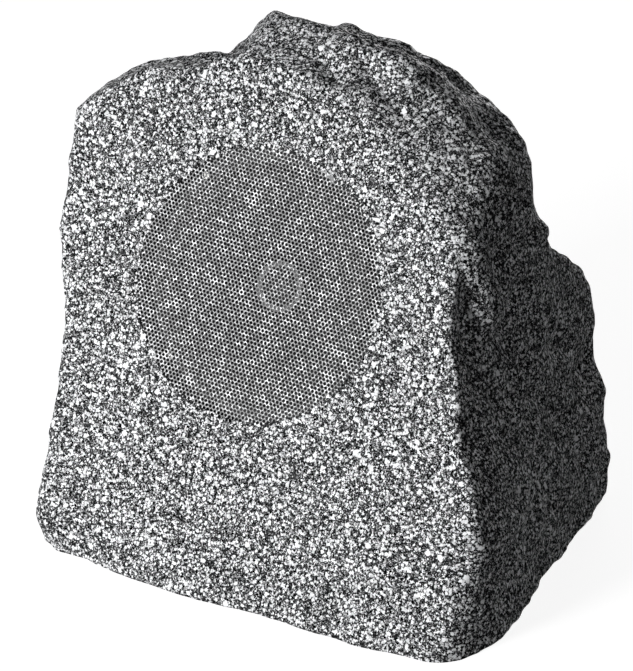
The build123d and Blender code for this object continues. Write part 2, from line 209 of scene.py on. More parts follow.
def openMaterial(name):
    material = bpy.data.materials.new(name)
    material.use_nodes = True
    tree = material.node_tree
    where = put(tree, "ShaderNodeTexCoord").outputs["Object"]
    return material, tree, tree.nodes["Principled BSDF"], where


# shared shader effects
stoneFlecks = {
    "fine": {"size": 0.5, "least": 0.1, "most": 0.6, "edge": 0.1, "dull": 0.06, "bright": 0.85},
    "main": {"size": 1.0, "least": 0.1, "most": 0.61, "edge": 0.06, "dull": 0.65, "bright": 1.1},
    "large": {"size": 2.2, "least": -1.6, "most": 0.45, "edge": 0.05, "dull": 0.9, "bright": 1.05},
}
stoneGround = {
    "swirlScale": 1.5,  # noise that bends the flecks' outlines
    "swirl": 1.3,
    "pepperScale": 1.7,
    "pepperEdge": (0.4, 0.66),
    "pepperHeight": 0.3,
    "black": (0.002, 0.002, 0.002, 1),
    "grey": (0.036, 0.037, 0.039, 1),
    "lifted": (0.45, 0.452, 0.457, 1),
    "pale": (0.955, 0.965, 0.985),
}
stoneSheen = {
    "bump": 0.5,
    "roughAt": (0.0, 1.4),  # heights between which the roughness changes
    "rough": (0.8, 0.62),
    "glintAt": (0.4, 0.9),  # only the pale flecks stand this high
}
grainLook = {
    "broadScale": 0.06,  # slow mottle, in grains
    "roughChange": 0.25,
    "bump": 0.4,
}


def fleckLayer(tree, grid, layer):
    cells = put(tree, "ShaderNodeTexVoronoi", {"Vector": grid, "Scale": 1 / layer["size"]}).outputs
    lot = put(tree, "ShaderNodeSeparateColor", {0: cells["Color"]}).outputs
    radius = put(tree, "ShaderNodeMapRange", {0: lot[0], 3: layer["least"], 4: layer["most"]}).outputs[0]
    mask = spread(tree, calc(tree, "SUBTRACT", radius, cells["Distance"]), -layer["edge"], layer["edge"])
    tone = put(tree, "ShaderNodeMapRange", {0: lot[1], 3: layer["dull"], 4: layer["bright"]}).outputs[0]
    return mask, tone


def fleckedStoneGroup():
    given = [("Vector", "Vector", None), ("Fleck Size", "Float", 0.0026), ("Lift", "Float", 0.0)]
    made = [("Colour", "Color"), ("Height", "Float")]
    group, inputs, out = openGroup("fleckedStone", "ShaderNodeTree", given, made)
    grid = scaled(group, inputs["Vector"], calc(group, "DIVIDE", 1.0, inputs["Fleck Size"]))
    bends = cloud(group, grid, stoneGround["swirlScale"], 1.0).outputs["Color"]
    swirl = vectorCalc(group, "SUBTRACT", bends, (0.5, 0.5, 0.5))
    warped = vectorCalc(group, "ADD", grid, scaled(group, swirl, stoneGround["swirl"]))
    specks = cloud(group, grid, stoneGround["pepperScale"], 1.0).outputs["Fac"]
    pepper = spread(group, specks, *stoneGround["pepperEdge"])
    ground = tint(group, pepper, stoneGround["black"], stoneGround["grey"])
    colour = tint(group, inputs["Lift"], ground, stoneGround["lifted"])
    height = calc(group, "MULTIPLY", pepper, stoneGround["pepperHeight"])
    for layer in stoneFlecks.values():
        mask, tone = fleckLayer(group, warped, layer)
        pale = scaled(group, stoneGround["pale"], tone)
        colour = tint(group, mask, colour, pale)
        height = calc(group, "MAXIMUM", height, calc(group, "MULTIPLY", mask, tone))
    group.links.new(colour, out["Colour"])
    group.links.new(height, out["Height"])
    return group


def surfaceGrainGroup():
    given = [("Vector", "Vector", None), ("Grain Size", "Float", 0.001), ("Contrast", "Float", 0.2)]
    made = [("Shade", "Float"), ("Roughness", "Float"), ("Height", "Float")]
    group, inputs, out = openGroup("surfaceGrain", "ShaderNodeTree", given, made)
    grid = scaled(group, inputs["Vector"], calc(group, "DIVIDE", 1.0, inputs["Grain Size"]))
    fine = cloud(group, grid, 1.0, 2.0).outputs["Fac"]
    broad = cloud(group, grid, grainLook["broadScale"], 3.0, 0.6).outputs["Fac"]
    mottle = calc(group, "SUBTRACT", calc(group, "ADD", fine, broad), 1.0)
    change = calc(group, "MULTIPLY", mottle, inputs["Contrast"])
    group.links.new(calc(group, "ADD", 1.0, change), out["Shade"])
    group.links.new(calc(group, "MULTIPLY", mottle, grainLook["roughChange"]), out["Roughness"])
    group.links.new(fine, out["Height"])
    return group


fleckedStone = fleckedStoneGroup()
surfaceGrain = surfaceGrainGroup()


# materials
def stoneMaterial(name, fleckSize, lift, depth, gleam):
    material, tree, shader, where = openMaterial(name)
    flecks = place(tree, fleckedStone, {"Vector": where, "Fleck Size": fleckSize, "Lift": lift})
    height = flecks["Height"]
    relief = {"Height": height, "Strength": stoneSheen["bump"], "Distance": depth}
    bump = put(tree, "ShaderNodeBump", relief)
    rough = spread(tree, height, *stoneSheen["roughAt"], *stoneSheen["rough"])
    shine = spread(tree, height, *stoneSheen["glintAt"], 0.0, gleam)
    tree.links.new(flecks["Colour"], shader.inputs["Base Color"])
    tree.links.new(bump.outputs[0], shader.inputs["Normal"])
    tree.links.new(rough, shader.inputs["Roughness"])
    tree.links.new(shine, shader.inputs["Specular IOR Level"])
    return material


def grainMaterial(
    name, colour, roughness, metallic=0.0, grain=0.0012, contrast=0.3, depth=0.00005, gloss=0.5
):
    material, tree, shader, where = openMaterial(name)
    grains = place(tree, surfaceGrain, {"Vector": where, "Grain Size": grain, "Contrast": contrast})
    shaded = scaled(tree, colour, grains["Shade"])
    relief = {"Height": grains["Height"], "Strength": grainLook["bump"], "Distance": depth}
    bump = put(tree, "ShaderNodeBump", relief)
    tree.links.new(shaded, shader.inputs["Base Color"])
    tree.links.new(bump.outputs[0], shader.inputs["Normal"])
    tree.links.new(calc(tree, "ADD", roughness, grains["Roughness"]), shader.inputs["Roughness"])
    shader.inputs["Metallic"].default_value = metallic
    shader.inputs["Specular IOR Level"].default_value = gloss
    return material


finishes = {
    "black_steel": grainMaterial("satinBlackSteel", (0.015, 0.015, 0.016), 0.5, grain=0.0008, gloss=0.25),
    "zinc_steel": grainMaterial(
        "zincPlate", (0.62, 0.62, 0.6), 0.32, metallic=1.0, grain=0.0006, contrast=0.35
    ),
    "plain_steel": grainMaterial(
        "passivatedSteel", (0.42, 0.42, 0.44), 0.38, metallic=1.0, grain=0.0005, contrast=0.25
    ),
    "black_rubber": grainMaterial("blackRubber", (0.015, 0.015, 0.015), 0.75, grain=0.0015, gloss=0.2),
    "cone_film": grainMaterial(
        "coneFilm", (0.012, 0.012, 0.013), 0.7, grain=0.002, contrast=0.5, gloss=0.1
    ),
    "coil_wire": grainMaterial(
        "enamelledCopper", (0.72, 0.33, 0.16), 0.3, metallic=1.0, grain=0.0004, contrast=0.4
    ),
    "former_foil": grainMaterial("brightFoil", (0.75, 0.75, 0.76), 0.28, metallic=1.0, grain=0.0007),
    "spider_cloth": grainMaterial(
        "dippedCloth", (0.5, 0.38, 0.19), 0.85, grain=0.0006, contrast=0.6, depth=0.0002
    ),
    "ferrite": grainMaterial("sinteredFerrite", (0.05, 0.05, 0.055), 0.8, grain=0.0005, contrast=0.5),
    "silver_plastic": grainMaterial("satinSilver", (0.12, 0.12, 0.124), 0.5, grain=0.0006),
    "black_plastic": grainMaterial(
        "mouldedBlack", (0.025, 0.025, 0.026), 0.55, grain=0.0007, contrast=0.4, depth=0.0001
    ),
    "dome_silk": grainMaterial("coatedSilk", (0.02, 0.02, 0.021), 0.5, grain=0.0004, gloss=0.2),
    "magnet_nickel": grainMaterial("nickelPlate", (0.7, 0.68, 0.64), 0.2, metallic=1.0, grain=0.0008),
    "tinned_brass": grainMaterial("tinnedBrass", (0.7, 0.67, 0.56), 0.3, metallic=1.0, grain=0.0006),
    "strip_board": grainMaterial("brownLaminate", (0.3, 0.17, 0.08), 0.6, grain=0.0009, contrast=0.5),
    "circuit_board": grainMaterial("greenLacquer", (0.03, 0.16, 0.06), 0.35, grain=0.002, contrast=0.4),
    "capacitor_sleeve": grainMaterial("shrinkSleeve", (0.02, 0.035, 0.16), 0.35, grain=0.001),
    "resistor_ceramic": grainMaterial("whiteCeramic", (0.75, 0.75, 0.7), 0.7, grain=0.0006),
    "block_plastic": grainMaterial("mouldedGreen", (0.07, 0.22, 0.1), 0.5, grain=0.0007),
}
granite = stoneMaterial("speckledGranite", fleckSize=0.00185, lift=0.0, depth=0.0003, gleam=1.0)
grillePaint = stoneMaterial("speckledPaint", fleckSize=0.0021, lift=0.6, depth=0.0001, gleam=0.05)
# painted shade: black without gloss for the grille's bare hole walls and back, darker and duller than the satin
# black steel so that the holes read as shade
holeShadeBlack = grainMaterial("holeShadeBlack", (0.006, 0.006, 0.006), 0.8, grain=0.0008, gloss=0.0)
rawResin = grainMaterial("rawResin", (0.11, 0.11, 0.115), 0.75, grain=0.002, contrast=0.5, depth=0.0002)
for part in frame["record"]["subparts"]:
    if part["material_slot"] in finishes:
        slots = nodes[part["node"]].data.materials
        slots.clear()
        slots.append(finishes[part["material_slot"]])
print("materials:", len(bpy.data.materials))

# rock: a closed block from the shell, weathered, then hollowed out again by the shell itself
rockSizes = {
    "voxel": 0.0023,  # spacing of the skin's points
    "roundings": 5,  # smoothing passes over the hewn edges
    "foot": 0.014,  # working block below the ground, cut off again
    "footGap": 0.0005,
    "plug": 0.022,  # working plug in the grille's recess
    "plugMargin": 0.001,
    "plugSides": 128,
    "notchBar": 0.004,  # working bar in the wall that shuts the cable notch
    "notchCover": 1.6,  # the bar's width and height in notches
    "besideNotch": 0.01,  # where the wall's inside is measured
    "onSkin": 0.001,  # a face this near the skin is part of the outside
    "spare": 0.016,  # room between the facets and the cutter's outside
    "calm": 0.014,  # quiet ring round the grille
    "frontDepth": (-0.02, -0.004),  # where the flat front begins and is reached, along the driver's axis
    "frontRelief": 0.55,  # share of the relief that the front keeps
    "deepest": 0.0045,  # of a wall 6 mm thick, or less under a scallop
    "sharpAngle": 40,  # degrees
}
reliefLayers = {
    "swells": {"size": 0.06, "height": 0.0032},
    "lumps": {"size": 0.026, "height": 0.003},
    "pits": {"size": 0.01, "height": 0.0014},
}
layerShift = Vector((7.3, 2.9, 5.1))  # keeps the layers' noise apart
chips = {"size": 0.02, "height": 0.0016, "widest": 0.5, "level": 0.3}  # small hewn faces, creased between
softenedShrink = 0.4  # share of its reach that a softened spot loses over its passes
softened = {
    "upperRight": {"centre": (0.085, 0.01, 0.235), "reach": 0.085, "passes": 40},
    "lowerRight": {"centre": (0.152, -0.115, 0.02), "reach": 0.062, "passes": 70},
}
strokes = {
    "flankKnob": {
        "start": (0.11, -0.02, 0.206),
        "end": (0.113, -0.024, 0.176),
        "width": 0.011,
        "height": 0.0045,
    },
    "knobGroove": {
        "start": (0.108, -0.039, 0.206),
        "end": (0.113, -0.042, 0.155),
        "width": 0.007,
        "height": -0.0042,
    },
    "crestStep": {
        "start": (-0.013, 0.008, 0.289),
        "end": (0.011, -0.009, 0.277),
        "width": 0.005,
        "height": -0.0036,
    },
    "crestCrease": {
        "start": (0.013, 0.012, 0.289),
        "end": (0.044, -0.001, 0.272),
        "width": 0.005,
        "height": -0.003,
    },
    "crestKnob": {
        "start": (0.027, 0.024, 0.293),
        "end": (0.036, 0.018, 0.289),
        "width": 0.01,
        "height": 0.003,
    },
    "crestBack": {
        "start": (0.004, 0.043, 0.291),
        "end": (0.02, 0.049, 0.286),
        "width": 0.01,
        "height": 0.004,
    },
    "crownDip": {
        "start": (0.034, 0.055, 0.281),
        "end": (0.054, 0.06, 0.268),
        "width": 0.012,
        "height": -0.004,
    },
    "crownLump": {
        "start": (0.076, 0.06, 0.255),
        "end": (0.092, 0.057, 0.236),
        "width": 0.014,
        "height": 0.0035,
    },
    "shoulderDip": {
        "start": (-0.135, 0.006, 0.262),
        "end": (-0.11, 0.008, 0.273),
        "width": 0.014,
        "height": -0.0042,
    },
    "ledgeLip": {
        "start": (0.112, 0.05, 0.189),
        "end": (0.112, 0.04, 0.193),
        "width": 0.008,
        "height": 0.004,
    },
    "ledgeNotch": {
        "start": (0.11, 0.042, 0.201),
        "end": (0.107, 0.052, 0.205),
        "width": 0.007,
        "height": -0.003,
    },
    "toe": {
        "start": (-0.06, -0.131, 0.003),
        "end": (0.1, -0.13, 0.006),
        "width": 0.016,
        "height": 0.003,
    },
    "toeLeft": {
        "start": (-0.128, -0.114, 0.04),
        "end": (-0.127, -0.122, 0.018),
        "width": 0.012,
        "height": 0.003,
    },
    "toeCorner": {
        "start": (-0.122, -0.13, 0.002),
        "end": (-0.1, -0.132, 0.0),
        "width": 0.012,
        "height": -0.0045,
    },
    "toeRight": {
        "start": (0.149, -0.107, 0.058),
        "end": (0.157, -0.107, 0.015),
        "width": 0.012,
        "height": -0.003,
    },
}


def shutNotch(block):
    openings = {item["name"]: item["box_m"] for item in frame["record"]["physics"]["openings"]}
    low, high = (Vector(corner) for corner in openings["cable_notch"])
    middle = (low + high) / 2
    span = (high - low) * rockSizes["notchCover"]
    walls = BVHTree.FromBMesh(block)
    inner = []
    for x in (low.x - rockSizes["besideNotch"], high.x + rockSizes["besideNotch"]):
        hit = walls.ray_cast(Vector((x, low.y, middle.z)), Vector((0, 1, 0)))[0]
        inner.append(hit.y)
    thick = rockSizes["notchBar"]
    centre = Vector((middle.x, sum(inner) / 2 + thick / 2, middle.z))
    size = Matrix.Diagonal((span.x, thick, span.z, 1))
    bmesh.ops.create_cube(block, size=1, matrix=Matrix.Translation(centre) @ size)


def closedBlock():
    block = mergedCopy("rock_shell")
    shutNotch(block)
    foot = bmesh.new()
    for vert in block.verts:
        if vert.co.z < 1e-4:
            for height in (-rockSizes["footGap"], -rockSizes["foot"]):
                foot.verts.new((vert.co.x, vert.co.y, height))
    hull = bmesh.ops.convex_hull(foot, input=foot.verts)
    inner = [item for item in hull["geom_interior"] if isinstance(item, bmesh.types.BMVert)]
    bmesh.ops.delete(foot, geom=inner, context="VERTS")
    footMesh = toMesh(foot, "foot")
    block.from_mesh(footMesh)
    bpy.data.meshes.remove(footMesh)
    plug = rockSizes["plug"]
    lift = Matrix.Translation((0, 0, frontLift - plug / 2))
    radius = mouthRadius + rockSizes["plugMargin"]
    bmesh.ops.create_cone(
        block,
        cap_ends=True,
        segments=rockSizes["plugSides"],
        radius1=radius,
        radius2=radius,
        depth=plug,
        matrix=driverPlace @ lift,
    )
    return toMesh(block, "block")


def voxelSkin(mesh):
    holder = hold(mesh)
    remesh = holder.modifiers.new("voxels", "REMESH")
    remesh.mode = "VOXEL"
    remesh.voxel_size = rockSizes["voxel"]
    skin = bmesh.new()
    skinMesh = baked(holder, "skin")
    skin.from_mesh(skinMesh)
    drop(holder)
    bpy.data.meshes.remove(skinMesh)
    parts = sorted(islands(skin), key=len)
    bmesh.ops.delete(skin, geom=[v for part in parts[:-1] for v in part], context="VERTS")
    return skin


def strokeHeight(spot):
    height = 0.0
    for stroke in strokes.values():
        start = Vector(stroke["start"])
        along = Vector(stroke["end"]) - start
        share = min(max((spot - start).dot(along) / along.length_squared, 0), 1)
        gap = (spot - start - along * share).length / stroke["width"]
        if gap < 3:  # farther off a stroke is too faint to count
            height += stroke["height"] * math.exp(-gap * gap)
    return height


def reliefHeight(spot):
    height = 0.0
    for turn, layer in enumerate(reliefLayers.values()):
        height += layer["height"] * noise.noise(spot / layer["size"] + layerShift * turn)
    gaps = noise.voronoi(spot / chips["size"])[0]
    return height + chips["height"] * (min(gaps[1] - gaps[0], chips["widest"]) - chips["level"])


def smooth(skin, verts):
    bmesh.ops.smooth_vert(skin, verts=verts, factor=0.5, use_axis_x=True, use_axis_y=True, use_axis_z=True)


def weather(skin):
    for _ in range(rockSizes["roundings"]):
        smooth(skin, skin.verts)
    for spot in softened.values():
        centre = Vector(spot["centre"])
        near = [vert for vert in skin.verts if (vert.co - centre).length < spot["reach"]]
        for step in range(spot["passes"]):
            reach = spot["reach"] * (1 - softenedShrink * step / spot["passes"])
            smooth(skin, [vert for vert in near if (vert.co - centre).length < reach])
    skin.normal_update()
    moves = []
    for vert in skin.verts:
        local = toDriver @ vert.co
        onFront = smoothStep(local.z, *rockSizes["frontDepth"])
        ring = smoothStep(local.xy.length, mouthRadius, mouthRadius + rockSizes["calm"])
        share = 1 - onFront * (1 - rockSizes["frontRelief"] * ring)
        height = reliefHeight(vert.co) * share + strokeHeight(vert.co)
        moves.append(vert.normal * max(height, -rockSizes["deepest"]))
    for vert, move in zip(skin.verts, moves):
        vert.co += move


def roomyShell(skinTree):
    shell = mergedCopy("rock_shell")
    outside = set()
    for face in shell.faces:
        gap = skinTree.find_nearest(face.calc_center_median())[3]
        if gap < rockSizes["onSkin"]:
            outside.add(face)
    moves = {}
    for vert in shell.verts:
        facing = [face.normal for face in vert.link_faces if face in outside]
        if not facing:
            continue
        away = Vector()
        for normal in facing:
            if away.length == 0 or away.normalized().dot(normal) < 0.999:
                away += normal
        away.normalize()
        for face in vert.link_faces:
            if face not in outside:
                away -= face.normal * away.dot(face.normal)
        moves[vert] = away * rockSizes["spare"]
    for vert, move in moves.items():
        vert.co += move
    return toMesh(shell, "roomyShell")


def rockMesh():
    skin = voxelSkin(closedBlock())
    plain = BVHTree.FromBMesh(skin)
    weather(skin)
    solid = hold(toMesh(skin, "rockSkin"))
    solid.data.materials.append(granite)
    cutter = hold(roomyShell(plain))
    cutter.data.materials.append(rawResin)
    meet = solid.modifiers.new("hollow", "BOOLEAN")
    meet.operation = "INTERSECT"
    meet.solver = "MANIFOLD"
    meet.object = cutter
    meet.material_mode = "TRANSFER"
    mesh = baked(solid, "rock")
    drop(solid, cutter)
    mesh.shade_smooth()
    mesh.set_sharp_from_angle(angle=math.radians(rockSizes["sharpAngle"]))
    return mesh


rock = piece("rock", rockMesh(), "granite", "rock_shell")
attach(rock, "rock")
print("rock:", len(rock.data.polygons), "faces")

# grille: painted sheet with round holes on a hexagonal grid, folded back into a skirt
grilleSizes = {
    "pitch": 0.0025,
    "holeRadius": 0.001,
    "holeSides": 9,
    "field": 0.0806,  # radius that the holes fill
    "ragged": 0.0016,  # how far paint closes single holes at the edge
    "drift": 0.0022,  # how far the painted edge wanders
    "wanderScale": 45.0,
    "wanderEdge": (0.5, 0.7),
    "rimSides": 180,
    "thickness": 0.0006,
    "turn": -4.1,  # degrees
    "seed": 4,
}


def hexPoints(tree, inputs, reach):
    width = calc(tree, "MULTIPLY", reach, 2.4)  # a little more than the field
    columns = calc(tree, "CEIL", calc(tree, "DIVIDE", width, inputs["Pitch"]))
    index = put(tree, "GeometryNodeInputIndex").outputs[0]
    row = calc(tree, "FLOOR", calc(tree, "DIVIDE", index, columns))
    column = calc(tree, "SUBTRACT", index, calc(tree, "MULTIPLY", row, columns))
    stagger = calc(tree, "MULTIPLY", calc(tree, "MODULO", row, 2.0), 0.5)
    middle = calc(tree, "MULTIPLY", calc(tree, "FLOOR", calc(tree, "DIVIDE", columns, 4.0)), 2.0)
    steps = calc(tree, "ADD", calc(tree, "SUBTRACT", column, middle), stagger)
    x = calc(tree, "MULTIPLY", steps, inputs["Pitch"])
    rowStep = calc(tree, "MULTIPLY", inputs["Pitch"], math.sqrt(3) / 2)
    y = calc(tree, "MULTIPLY", calc(tree, "SUBTRACT", row, middle), rowStep)
    flat = put(tree, "ShaderNodeCombineXYZ", {"X": x, "Y": y}).outputs[0]
    turn = {"Vector": flat, "Angle": inputs["Turn"]}
    turned = put(tree, "ShaderNodeVectorRotate", turn, rotation_type="Z_AXIS").outputs[0]
    rows = calc(tree, "ADD", columns, 8.0)  # rows lie closer than columns
    count = calc(tree, "MULTIPLY", columns, rows)
    return put(tree, "GeometryNodePoints", {"Count": count, "Position": turned}).outputs[0]


def compare(tree, operation, first, second):
    inputs = {0: first, 1: second}
    return put(tree, "FunctionNodeCompare", inputs, data_type="FLOAT", operation=operation).outputs[0]


def joinedParts(tree, *parts):
    joint = put(tree, "GeometryNodeJoinGeometry")
    for part in parts:
        tree.links.new(part, joint.inputs[0])
    return joint.outputs[0]


def welded(tree, geometry):
    return put(tree, "GeometryNodeMergeByDistance", {"Geometry": geometry, "Distance": 1e-5}).outputs[0]


def circle(tree, sides, radius):
    return put(tree, "GeometryNodeCurvePrimitiveCircle", {"Resolution": sides, "Radius": radius}).outputs[0]


def filled(tree, curve):
    return put(tree, "GeometryNodeFillCurve", {"Curve": curve}).outputs[0]


def perforationTree():
    given = [
        ("Pitch", "Float", 0.0025),
        ("Hole Radius", "Float", 0.00075),
        ("Hole Sides", "Int", 9),
        ("Field Radius", "Float", 0.08),
        ("Sheet Radius", "Float", 0.084),
        ("Thickness", "Float", 0.001),
        ("Turn", "Float", 0.0),
        ("Ragged", "Float", 0.001),
        ("Drift", "Float", 0.001),
        ("Seed", "Int", 1),
        ("Paint", "Material", None),
        ("Border Paint", "Material", None),
        ("Bare Walls And Shade", "Material", None),
    ]
    tree, inputs, made = openGroup("perforatedSheet", "GeometryNodeTree", given, [("Geometry", "Geometry")])
    points = hexPoints(tree, inputs, inputs["Field Radius"])
    spot = put(tree, "GeometryNodeInputPosition").outputs[0]
    reach = put(tree, "ShaderNodeVectorMath", {0: spot}, operation="LENGTH").outputs["Value"]
    chance = put(tree, "FunctionNodeRandomValue", {"Seed": inputs["Seed"]}, data_type="FLOAT").outputs[1]
    paint = calc(tree, "MULTIPLY", calc(tree, "POWER", chance, 3.0), inputs["Ragged"])
    waves = cloud(tree, spot, grilleSizes["wanderScale"], 1.0).outputs[0]
    wander = spread(tree, waves, *grilleSizes["wanderEdge"])
    edge = calc(tree, "ADD", paint, calc(tree, "MULTIPLY", wander, inputs["Drift"]))
    isOpen = compare(tree, "LESS_THAN", reach, calc(tree, "SUBTRACT", inputs["Field Radius"], edge))
    beyond = compare(tree, "GREATER_THAN", reach, inputs["Field Radius"])
    spare = {"Geometry": points, "Selection": beyond}
    kept = put(tree, "GeometryNodeDeleteGeometry", spare, domain="POINT").outputs[0]
    hexagon = circle(tree, 6, calc(tree, "DIVIDE", inputs["Pitch"], math.sqrt(3)))
    hole = circle(tree, inputs["Hole Sides"], inputs["Hole Radius"])
    shut = put(tree, "FunctionNodeBooleanMath", {0: isOpen}, operation="NOT").outputs[0]
    angle = calc(tree, "ADD", inputs["Turn"], math.pi / 6)
    spin = put(tree, "ShaderNodeCombineXYZ", {"Z": angle}).outputs[0]
    cells = []
    for chosen, cell in ((isOpen, joinedParts(tree, hexagon, hole)), (shut, hexagon)):
        where = {"Points": kept, "Selection": chosen, "Instance": filled(tree, cell), "Rotation": spin}
        cells.append(put(tree, "GeometryNodeInstanceOnPoints", where).outputs[0])
    field = put(tree, "GeometryNodeRealizeInstances", {"Geometry": joinedParts(tree, *cells)}).outputs[0]
    field = welded(tree, field)
    sides = put(tree, "GeometryNodeInputMeshEdgeNeighbors").outputs[0]
    ends = put(tree, "GeometryNodeInputMeshEdgeVertices").outputs
    span = put(tree, "ShaderNodeVectorMath", {0: ends[2], 1: ends[3]}, operation="DISTANCE").outputs["Value"]
    lone = compare(tree, "LESS_THAN", sides, 1.5)
    shortest = calc(tree, "MULTIPLY", inputs["Pitch"], 0.4)  # longer than a hole's edge
    isLong = compare(tree, "GREATER_THAN", span, shortest)
    outline = put(tree, "FunctionNodeBooleanMath", {0: lone, 1: isLong}, operation="AND").outputs[0]
    rim = put(tree, "GeometryNodeMeshToCurve", {"Mesh": field, "Selection": outline}).outputs[0]
    edgeLine = circle(tree, grilleSizes["rimSides"], inputs["Sheet Radius"])
    margin = filled(tree, joinedParts(tree, rim, edgeLine))
    face = welded(tree, joinedParts(tree, field, margin))
    depth = {"Mesh": face, "Offset": (0, 0, -1), "Offset Scale": inputs["Thickness"], "Individual": False}
    back = put(tree, "GeometryNodeExtrudeMesh", depth).outputs[0]
    plate = welded(tree, joinedParts(tree, face, back))
    solid = put(tree, "GeometryNodeRealizeInstances", {"Geometry": plate}).outputs[0]
    normal = put(tree, "GeometryNodeInputNormal").outputs[0]
    facing = put(tree, "ShaderNodeSeparateXYZ", {0: normal}).outputs["Z"]
    inside = calc(tree, "SUBTRACT", inputs["Field Radius"], inputs["Ragged"])
    border = compare(tree, "GREATER_THAN", reach, inside)
    bareWallsInShade = compare(tree, "LESS_THAN", facing, 0.5)  # the holes' walls and the back: bare metal, given a darker, glossless black as painted shade in the holes
    for chosen, label in ((True, "Paint"), (border, "Border Paint"), (bareWallsInShade, "Bare Walls And Shade")):
        finish = {"Geometry": solid, "Selection": chosen, "Material": inputs[label]}
        solid = put(tree, "GeometryNodeSetMaterial", finish).outputs[0]
    tree.links.new(solid, made["Geometry"])
    return tree


def grownMesh(tree, name, values, places=()):
    seed = bpy.data.meshes.new(name + "Seed")
    seed.from_pydata(places, [], [])
    holder = hold(seed)
    modifier = holder.modifiers.new(name, "NODES")
    modifier.node_group = tree
    for item in tree.interface.items_tree:
        if item.in_out == "INPUT" and item.name in values:
            modifier[item.identifier] = values[item.name]
    mesh = baked(holder, name)
    drop(holder)
    return mesh


def turnedRing(shape, profile, segments):
    loops = []
    for step in range(segments):
        angle = 2 * math.pi * step / segments
        loops.append([shape.verts.new((r * math.cos(angle), r * math.sin(angle), z)) for r, z in profile])
    for step in range(segments):
        near = loops[step]
        far = loops[(step + 1) % segments]
        for i in range(len(profile)):
            j = (i + 1) % len(profile)
            shape.faces.new((near[i], far[i], far[j], near[j]))


def grilleMesh():
    sizes = grilleSizes
    values = {
        "Pitch": sizes["pitch"],
        "Hole Radius": sizes["holeRadius"],
        "Hole Sides": sizes["holeSides"],
        "Field Radius": sizes["field"],
        "Sheet Radius": mouthRadius,
        "Thickness": sizes["thickness"],
        "Turn": math.radians(sizes["turn"]),
        "Ragged": sizes["ragged"],
        "Drift": sizes["drift"],
        "Seed": sizes["seed"],
        "Paint": grillePaint,
        "Border Paint": granite,
        "Bare Walls And Shade": holeShadeBlack,
    }
    sheet = grownMesh(perforationTree(), "grilleSheet", values)
    shape = bmesh.new()
    shape.from_mesh(sheet)
    thick = sizes["thickness"]
    turnedRing(
        shape,
        [
            (grilleRadius, -thick),
            (grilleRadius, -cupDepth),
            (grilleRadius - thick, -cupDepth),
            (grilleRadius - thick, -thick),
        ],
        sizes["rimSides"],
    )
    bmesh.ops.recalc_face_normals(shape, faces=shape.faces)
    shape.transform(driverPlace)
    mesh = toMesh(shape, "grille")
    for material in sheet.materials:
        mesh.materials.append(material)
    bpy.data.meshes.remove(sheet)
    return mesh


grille = piece("grilleSheet", grilleMesh(), "grille_paint", "grille")
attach(grille, "rock")
print("grille:", len(grille.data.polygons), "faces")

# screws: cross-recessed heads and threaded shanks, where the plain ones stand
screws = {
    "base_screws": {
        "head": 0.004,
        "headHeight": 0.0026,
        "shank": 0.002,
        "length": 0.016,
        "pitch": 0.0018,
        "facing": Vector((0, 0, -1)),
    },
    "driver_screws": {
        "head": 0.0032,
        "headHeight": 0.0024,
        "shank": 0.0015,
        "length": 0.01,
        "pitch": 0.0014,
        "facing": driverAxis,
    },
    "board_screws": {
        "head": 0.0028,
        "headHeight": 0.002,
        "shank": 0.0015,
        "length": 0.006,
        "pitch": 0.0012,
        "facing": Vector((0, 0, 1)),
    },
}
screwShares = {
    "top": 0.72,  # of the head's radius
    "slotLength": 1.1,  # of the head's radius
    "slotWidth": 0.24,  # of the head's radius
    "core": 0.8,  # of the shank's radius
    "ridge": 0.2,  # of the shank's radius
    "threaded": 0.92,  # of the shank's length
}
screwSides = {"head": 28, "shank": 20, "turn": 18, "ridge": 3}


def moved(tree, geometry, z):
    offset = put(tree, "ShaderNodeCombineXYZ", {"Z": z}).outputs[0]
    return put(tree, "GeometryNodeTransform", {"Geometry": geometry, "Translation": offset}).outputs[0]


def helix(tree, sides, turns, radius, height):
    inputs = {
        "Resolution": sides,
        "Rotations": turns,
        "Start Radius": radius,
        "End Radius": radius,
        "Height": height,
    }
    return put(tree, "GeometryNodeCurveSpiral", inputs).outputs[0]


def stood(tree, inputs, geometry):
    turn = put(tree, "FunctionNodeAlignRotationToVector", {"Vector": inputs["Facing"]}, axis="Z").outputs[0]
    where = {"Points": inputs["Geometry"], "Instance": geometry, "Rotation": turn}
    copies = put(tree, "GeometryNodeInstanceOnPoints", where).outputs[0]
    solid = put(tree, "GeometryNodeRealizeInstances", {"Geometry": copies}).outputs[0]
    finish = {"Geometry": solid, "Material": inputs["Material"]}
    return put(tree, "GeometryNodeSetMaterial", finish).outputs[0]


